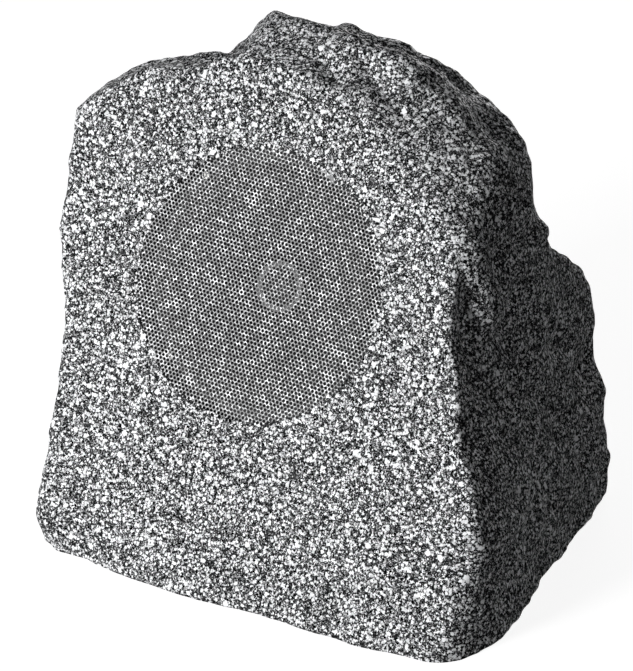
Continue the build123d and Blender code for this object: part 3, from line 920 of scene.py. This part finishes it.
def screwTree():
    given = [
        ("Geometry", "Geometry", None),
        ("Head Radius", "Float", 0.004),
        ("Head Height", "Float", 0.0026),
        ("Shank Radius", "Float", 0.002),
        ("Length", "Float", 0.016),
        ("Thread Pitch", "Float", 0.0018),
        ("Facing", "Vector", None),
        ("Material", "Material", None),
    ]
    tree, inputs, made = openGroup("crossHeadScrew", "GeometryNodeTree", given, [("Geometry", "Geometry")])
    radius = inputs["Head Radius"]
    top = calc(tree, "MULTIPLY", radius, screwShares["top"])
    cone = {
        "Vertices": screwSides["head"],
        "Radius Top": top,
        "Radius Bottom": radius,
        "Depth": inputs["Head Height"],
    }
    headDrop = calc(tree, "MULTIPLY", inputs["Head Height"], -1.0)
    head = moved(tree, put(tree, "GeometryNodeMeshCone", cone).outputs["Mesh"], headDrop)
    cross = put(tree, "GeometryNodeMeshBoolean", {"Mesh 1": head}, operation="DIFFERENCE")
    along = calc(tree, "MULTIPLY", radius, screwShares["slotLength"])
    across = calc(tree, "MULTIPLY", radius, screwShares["slotWidth"])
    for x, y in ((along, across), (across, along)):
        arm = {"X": x, "Y": y, "Z": inputs["Head Height"]}
        size = put(tree, "ShaderNodeCombineXYZ", arm).outputs[0]
        slot = put(tree, "GeometryNodeMeshCube", {"Size": size}).outputs["Mesh"]
        tree.links.new(slot, cross.inputs["Mesh 2"])
    core = calc(tree, "MULTIPLY", inputs["Shank Radius"], screwShares["core"])
    rod = {"Vertices": screwSides["shank"], "Radius": core, "Depth": inputs["Length"]}
    shank = put(tree, "GeometryNodeMeshCylinder", rod).outputs["Mesh"]
    half = calc(tree, "MULTIPLY", inputs["Length"], 0.5)
    shank = moved(tree, shank, calc(tree, "SUBTRACT", headDrop, half))
    height = calc(tree, "MULTIPLY", inputs["Length"], screwShares["threaded"])
    turns = calc(tree, "DIVIDE", height, inputs["Thread Pitch"])
    path = helix(tree, screwSides["turn"], turns, core, height)
    ridgeRadius = calc(tree, "MULTIPLY", inputs["Shank Radius"], screwShares["ridge"])
    ridge = circle(tree, screwSides["ridge"], ridgeRadius)
    sweep = {"Curve": path, "Profile Curve": ridge, "Fill Caps": True}
    thread = put(tree, "GeometryNodeCurveToMesh", sweep).outputs[0]
    thread = moved(tree, thread, calc(tree, "SUBTRACT", headDrop, inputs["Length"]))
    screw = joinedParts(tree, cross.outputs[0], shank, thread)
    tree.links.new(stood(tree, inputs, screw), made["Geometry"])
    return tree


def screwPlaces(node, facing):
    shape = mergedCopy(node)
    places = []
    for island in islands(shape):
        low = Vector([min(vert.co[i] for vert in island) for i in range(3)])
        high = Vector([max(vert.co[i] for vert in island) for i in range(3)])
        middle = (low + high) / 2
        top = max((vert.co - middle).dot(facing) for vert in island)
        heads = [vert.co for vert in island if (vert.co - middle).dot(facing) > top - 1e-5]
        places.append(sum(heads, Vector()) / len(heads))
    shape.free()
    return places


def buildScrews():
    tree = screwTree()
    for node, sizes in screws.items():
        facing = sizes["facing"]
        values = {
            "Head Radius": sizes["head"],
            "Head Height": sizes["headHeight"],
            "Shank Radius": sizes["shank"],
            "Length": sizes["length"],
            "Thread Pitch": sizes["pitch"],
            "Facing": facing,
            "Material": finishes["zinc_steel"],
        }
        first, second = node.split("_")
        name = first + second.capitalize()
        mesh = grownMesh(tree, name, values, screwPlaces(node, facing))
        mesh.shade_smooth()
        mesh.set_sharp_from_angle(angle=math.radians(35))
        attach(piece(name, mesh, "zinc_steel", node), "rock")
        print(name + ":", len(mesh.polygons), "faces")


buildScrews()

# coils: a last layer of round wire, wound over the turns below it
coils = {
    "voice_coil": {
        "name": "woundVoiceCoil",
        "wire": 0.00016,
        "body": "cone_assembly",
        "facing": driverAxis,
    },
    "inductor": {
        "name": "woundInductor",
        "wire": 0.0005,
        "body": "rock",
        "facing": Vector((0, 0, 1)),
    },
}
coilSides = {"tube": 72, "turn": 60, "wire": 6}


def coilTree():
    given = [
        ("Geometry", "Geometry", None),
        ("Inner Radius", "Float", 0.008),
        ("Outer Radius", "Float", 0.015),
        ("Height", "Float", 0.02),
        ("Wire Radius", "Float", 0.0005),
        ("Facing", "Vector", None),
        ("Material", "Material", None),
    ]
    tree, inputs, made = openGroup("woundCoil", "GeometryNodeTree", given, [("Geometry", "Geometry")])
    wire = inputs["Wire Radius"]
    path = calc(tree, "SUBTRACT", inputs["Outer Radius"], wire)
    bulk = {"Vertices": coilSides["tube"], "Radius": path, "Depth": inputs["Height"]}
    through = calc(tree, "MULTIPLY", inputs["Height"], 1.1)  # longer than the tube, for a clean cut
    bore = {"Vertices": coilSides["tube"], "Radius": inputs["Inner Radius"], "Depth": through}
    tube = put(tree, "GeometryNodeMeshBoolean", operation="DIFFERENCE")
    tree.links.new(put(tree, "GeometryNodeMeshCylinder", bulk).outputs["Mesh"], tube.inputs["Mesh 1"])
    tree.links.new(put(tree, "GeometryNodeMeshCylinder", bore).outputs["Mesh"], tube.inputs["Mesh 2"])
    thick = calc(tree, "MULTIPLY", wire, 2.0)
    rise = calc(tree, "SUBTRACT", inputs["Height"], thick)
    turns = calc(tree, "DIVIDE", rise, thick)
    line = helix(tree, coilSides["turn"], turns, path, rise)
    sweep = {"Curve": line, "Profile Curve": circle(tree, coilSides["wire"], wire), "Fill Caps": True}
    layer = put(tree, "GeometryNodeCurveToMesh", sweep).outputs[0]
    layer = moved(tree, layer, calc(tree, "MULTIPLY", rise, -0.5))
    coil = joinedParts(tree, tube.outputs[0], layer)
    tree.links.new(stood(tree, inputs, coil), made["Geometry"])
    return tree


def buildCoils():
    tree = coilTree()
    for node, coil in coils.items():
        low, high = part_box(node)
        middle = (low + high) / 2
        spots = [vert.co - middle for vert in nodes[node].data.vertices]
        heights = [spot.dot(coil["facing"]) for spot in spots]
        radii = [(spot - coil["facing"] * height).length for spot, height in zip(spots, heights)]
        values = {
            "Inner Radius": min(radii),
            "Outer Radius": max(radii),
            "Height": max(heights) - min(heights),
            "Wire Radius": coil["wire"],
            "Facing": coil["facing"],
            "Material": finishes["coil_wire"],
        }
        mesh = grownMesh(tree, coil["name"], values, [middle])
        mesh.shade_smooth()
        mesh.set_sharp_from_angle(angle=math.radians(50))
        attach(piece(coil["name"], mesh, "coil_wire", node), coil["body"])
        print(coil["name"] + ":", len(mesh.polygons), "faces")


buildCoils()

# soft rings of the driver: the outer edge stays with the frame, the inner edge goes with the cone
softRings = {
    "rollSurround": {"node": "surround", "slot": "black_rubber", "still": 0.07, "moving": 0.058},
    "clothSpider": {"node": "spider", "slot": "spider_cloth", "still": 0.039, "moving": 0.014},
}


def flexRing(name, node, slot, still, moving):
    mesh = toMesh(mergedCopy(node), name)
    mesh.materials.clear()
    mesh.materials.append(finishes[slot])
    made = piece(name, mesh, slot, node)
    middle = driverPlace.translation
    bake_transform(made, "rock", "cone_assembly", start=middle + rightward, end=middle)
    weights = made.data.attributes["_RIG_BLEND"].data
    for vert, weight in zip(made.data.vertices, weights):
        weight.value = 1 - smoothStep((toDriver @ vert.co).xy.length, moving, still)


for name, ring in softRings.items():
    flexRing(name, ring["node"], ring["slot"], ring["still"], ring["moving"])
print("soft rings:", len(softRings))

# studio: pale floor, a lamp in front on the left, a weaker one low behind for the far sides, some fill
studio = {
    "floorSize": 30.0,
    "floorDrop": 0.0003,  # below the rim, so that the two don't flicker
    "shade": (0.13, 0.11),  # half width and depth of the painted shade under the rock, where the floor's glow fades out
    "shadeEdge": (0.85, 1.0),
    "aim": (-0.02, -0.03, 0.15),
    "fill": 0.08,
    "glow": 0.9,  # the floor's own light, only for rays that see it directly or in a mirror
    "paper": ((0.25, 0.25, 0.25, 1), (0.27, 0.27, 0.27, 1)),
    "dull": (0.2, 0.2, 0.2, 1),  # the floor as it lights the part
}
lamps = {
    "frontLamp": {"from": (-0.26, -0.92, 0.24), "distance": 1.4, "size": 0.4, "power": 22.4},
    "backLamp": {"from": (-0.3, 0.94, 0.1), "distance": 2.0, "size": 0.8, "power": 22.0},
}


def seeingRays(tree):
    rays = put(tree, "ShaderNodeLightPath").outputs
    seen = calc(tree, "MAXIMUM", rays["Is Camera Ray"], rays["Is Glossy Ray"])
    return calc(tree, "MAXIMUM", seen, rays["Is Transmission Ray"])


def floorMaterial():
    material, tree, shader, where = openMaterial("paleFloor")
    tree.nodes.remove(shader)
    paper = cloud(tree, where, 40.0, 3.0).outputs["Fac"]
    seenColour = tint(tree, paper, *studio["paper"])
    bright = put(tree, "ShaderNodeBsdfDiffuse", {"Color": seenColour}).outputs[0]
    halfWidth, halfDepth = studio["shade"]
    across = vectorCalc(tree, "DIVIDE", where, (halfWidth, halfDepth, 1))
    reach = put(tree, "ShaderNodeVectorMath", {0: across}, operation="LENGTH").outputs["Value"]
    # painted shade: the floor's glow fades to nothing under the rock's footprint
    strength = spread(tree, reach, *studio["shadeEdge"], 0.0, studio["glow"])
    glow = put(tree, "ShaderNodeEmission", {"Color": (1, 1, 1, 1), "Strength": strength}).outputs[0]
    seen = put(tree, "ShaderNodeAddShader", {0: bright, 1: glow}).outputs[0]
    plain = put(tree, "ShaderNodeBsdfDiffuse", {"Color": studio["dull"]}).outputs[0]
    above = put(tree, "ShaderNodeMixShader", {0: seeingRays(tree), 1: plain, 2: seen}).outputs[0]
    below = put(tree, "ShaderNodeBsdfTransparent").outputs[0]
    under = put(tree, "ShaderNodeNewGeometry").outputs["Backfacing"]
    mix = put(tree, "ShaderNodeMixShader", {0: under, 1: above, 2: below}).outputs[0]
    tree.links.new(mix, tree.nodes["Material Output"].inputs["Surface"])
    return material


def buildFloor():
    shape = bmesh.new()
    bmesh.ops.create_grid(
        shape,
        x_segments=1,
        y_segments=1,
        size=studio["floorSize"] / 2,
        matrix=Matrix.Translation((0, 0, -studio["floorDrop"])),
    )
    floor = hold(toMesh(shape, "floor"))
    floor.data.materials.append(floorMaterial())


def buildLamps():
    for name, lamp in lamps.items():
        data = bpy.data.lights.new(name, "AREA")
        data.shape = "DISK"
        data.size = lamp["size"]
        data.energy = lamp["power"]
        away = Vector(lamp["from"]).normalized()
        made = bpy.data.objects.new(name, data)
        made.location = Vector(studio["aim"]) + away * lamp["distance"]
        made.rotation_euler = away.to_track_quat("Z", "Y").to_euler()
        scene.collection.objects.link(made)


def buildSky():
    world = bpy.data.worlds.new("studioSky")
    world.use_nodes = True
    scene.world = world
    tree = world.node_tree
    fill = studio["fill"]
    colour = tint(tree, seeingRays(tree), (fill, fill, fill, 1), (1, 1, 1, 1))
    tree.links.new(colour, tree.nodes["Background"].inputs["Color"])
    scene.view_settings.view_transform = "Standard"


# camera: long lens, from the front right and above
view = {
    "azimuth": 29.8,
    "elevation": 26.8,
    "distance": 2.458,
    "lens": 227.5,
    "fromGrille": (0.0358, 0.0062, -0.026),  # the point aimed at, from the grille's middle
}


def buildCamera():
    turn = math.radians(view["azimuth"])
    rise = math.radians(view["elevation"])
    back = Vector((math.sin(turn) * math.cos(rise), -math.cos(turn) * math.cos(rise), math.sin(rise)))
    data = bpy.data.cameras.new("camera")
    data.lens = view["lens"]
    data.sensor_width = 36
    data.clip_end = 100
    camera = bpy.data.objects.new("camera", data)
    aim = driverPlace.translation + Vector(view["fromGrille"])
    camera.location = aim + back * view["distance"]
    camera.rotation_euler = (-back).to_track_quat("-Z", "Y").to_euler()
    scene.collection.objects.link(camera)
    scene.camera = camera


buildFloor()
buildLamps()
buildSky()
buildCamera()
print("studio ready")
